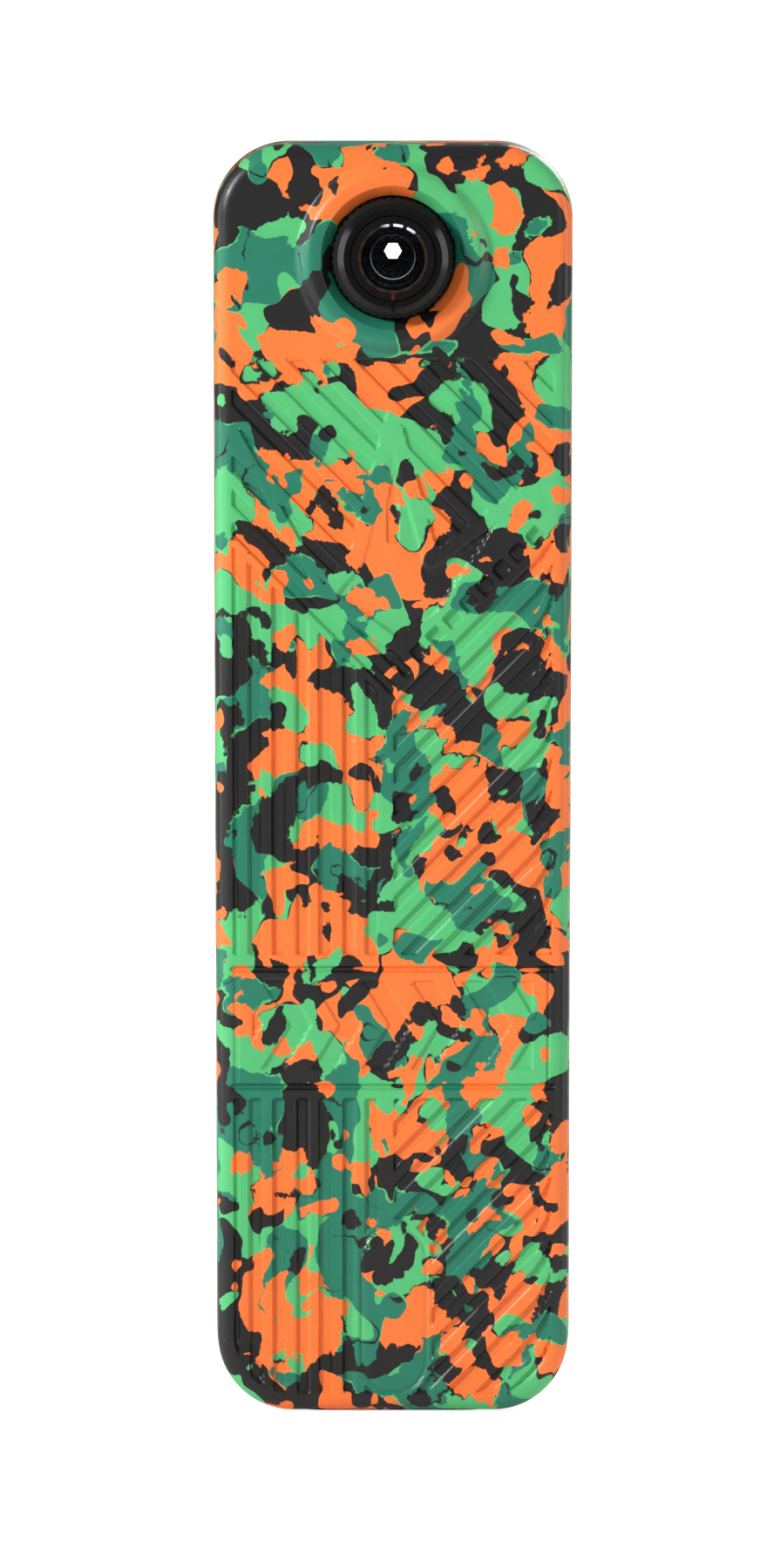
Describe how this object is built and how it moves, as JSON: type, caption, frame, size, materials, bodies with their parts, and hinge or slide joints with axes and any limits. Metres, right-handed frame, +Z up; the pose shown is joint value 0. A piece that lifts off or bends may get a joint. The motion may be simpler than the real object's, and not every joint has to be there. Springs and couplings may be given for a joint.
{
  "type": "laser rangefinder",
  "caption": "Slim upright laser rangefinder: ribbed marbled rubber armour, turning eyepiece ring, lenses on the far side, sprung buttons and a hinged battery door.",
  "frame": {"origin": "centre of the tripod thread's mouth, in the underside of the base plate", "axes": "+Z up along the body, -Y towards the user's eye, +Y towards the target, +X to the user's right"},
  "size_m": [0.05, 0.0368, 0.1763],
  "materials": {
    "armour_orange": "satin moulded rubber, marbled orange, two greens and black",
    "casing_black": "matt glass-filled plastic",
    "seal_rubber": "soft black sealing rubber",
    "screw_steel": "plain steel",
    "base_metal": "black anodised",
    "insert_brass": "turned brass",
    "eyepiece_black": "black anodised, satin",
    "tube_black": "black anodised, matt",
    "crown_metal": "dark anodised with bright edges",
    "index_red": "red paint fill",
    "optic_glass": "coated optical glass",
    "objective_glass": "violet coated optical glass",
    "laser_glass": "deep red filter coating",
    "aperture_black": "blackened sheet",
    "bezel_black": "fine texture",
    "button_rubber": "satin rubber",
    "board_green": "solder mask",
    "chip_black": "moulded package",
    "switch_metal": "tact switches",
    "diode_metal": "gold plated can",
    "tray_plastic": "moulded plastic",
    "cell_jacket": "plain unprinted jacket of an AA cell",
    "spring_steel": "nickel plated"
  },
  "bodies": {
    "housing": {"rear_armour": "armour_orange", "front_armour": "armour_orange", "rear_casing": "casing_black", "front_casing": "casing_black", "casing_gasket": "seal_rubber", "casing_screws": "screw_steel", "base_plate": "base_metal", "tripod_insert": "insert_brass", "base_plate_screws": "screw_steel", "eyepiece_tube": "tube_black", "eyepiece_seal": "seal_rubber", "eyepiece_nut": "tube_black", "reticle_glass": "optic_glass", "hex_aperture": "aperture_black", "aperture_ring": "tube_black", "prism_holder": "casing_black", "prism_screws": "screw_steel", "half_penta_prism": "optic_glass", "roof_prism": "optic_glass", "receiver_filter": "laser_glass", "receiver_diode": "diode_metal", "receiver_board": "board_green", "objective_tube": "tube_black", "objective_seal": "seal_rubber", "objective_lens": "objective_glass", "objective_ring": "eyepiece_black", "emitter_tube": "tube_black", "emitter_seal": "seal_rubber", "emitter_lens": "laser_glass", "emitter_ring": "eyepiece_black", "laser_diode": "diode_metal", "driver_board": "board_green", "lens_bezel": "bezel_black", "main_board": "board_green", "board_screws": "screw_steel", "board_chips": "chip_black", "button_switches": "switch_metal", "battery_tray": "tray_plastic", "battery_cells": "cell_jacket", "battery_contacts": "spring_steel", "battery_springs": "spring_steel", "hinge_pin": "screw_steel"},
    "dioptre": {"dioptre_ring": "eyepiece_black"},
    "eyepiece_cell": {"lens_cell": "tube_black", "focus_mark": "index_red", "guide_pin": "screw_steel", "crown_ring": "crown_metal", "eye_lens": "optic_glass", "field_lens": "optic_glass", "field_lens_ring": "tube_black"},
    "measure_key": {"measure_button": "button_rubber"},
    "mode_key": {"mode_button": "button_rubber"},
    "door": {"battery_door": "casing_black", "battery_door_skin": "armour_orange"}
  },
  "joints": [
    {"name": "dioptre_turn", "type": "hinge", "parent": "housing", "child": "dioptre", "pos_m": [0, -0.0175, 0.1603], "axis": [0, -1, 0], "range_deg": [-120, 120]},
    {"name": "eyepiece_focus", "type": "slide", "parent": "housing", "child": "eyepiece_cell", "axis": [0, -1, 0], "range_m": [-0.00069, 0.00069]},
    {"name": "measure_press", "type": "slide", "parent": "housing", "child": "measure_key", "axis": [0, -1, 0], "range_m": [0, 0.0008], "stiffness_N_per_m": 1200, "springref_m": -0.0008},
    {"name": "mode_press", "type": "slide", "parent": "housing", "child": "mode_key", "axis": [0, -1, 0], "range_m": [0, 0.0008], "stiffness_N_per_m": 1000, "springref_m": -0.0008},
    {"name": "battery_door_hinge", "type": "hinge", "parent": "housing", "child": "door", "pos_m": [0, 0.0134, 0.0699], "axis": [1, 0, 0], "range_deg": [0, 105]}
  ],
  "couplings": [
    {"joint": "dioptre_turn", "follows": "eyepiece_focus", "rad_per_m": 3030}
  ]
}
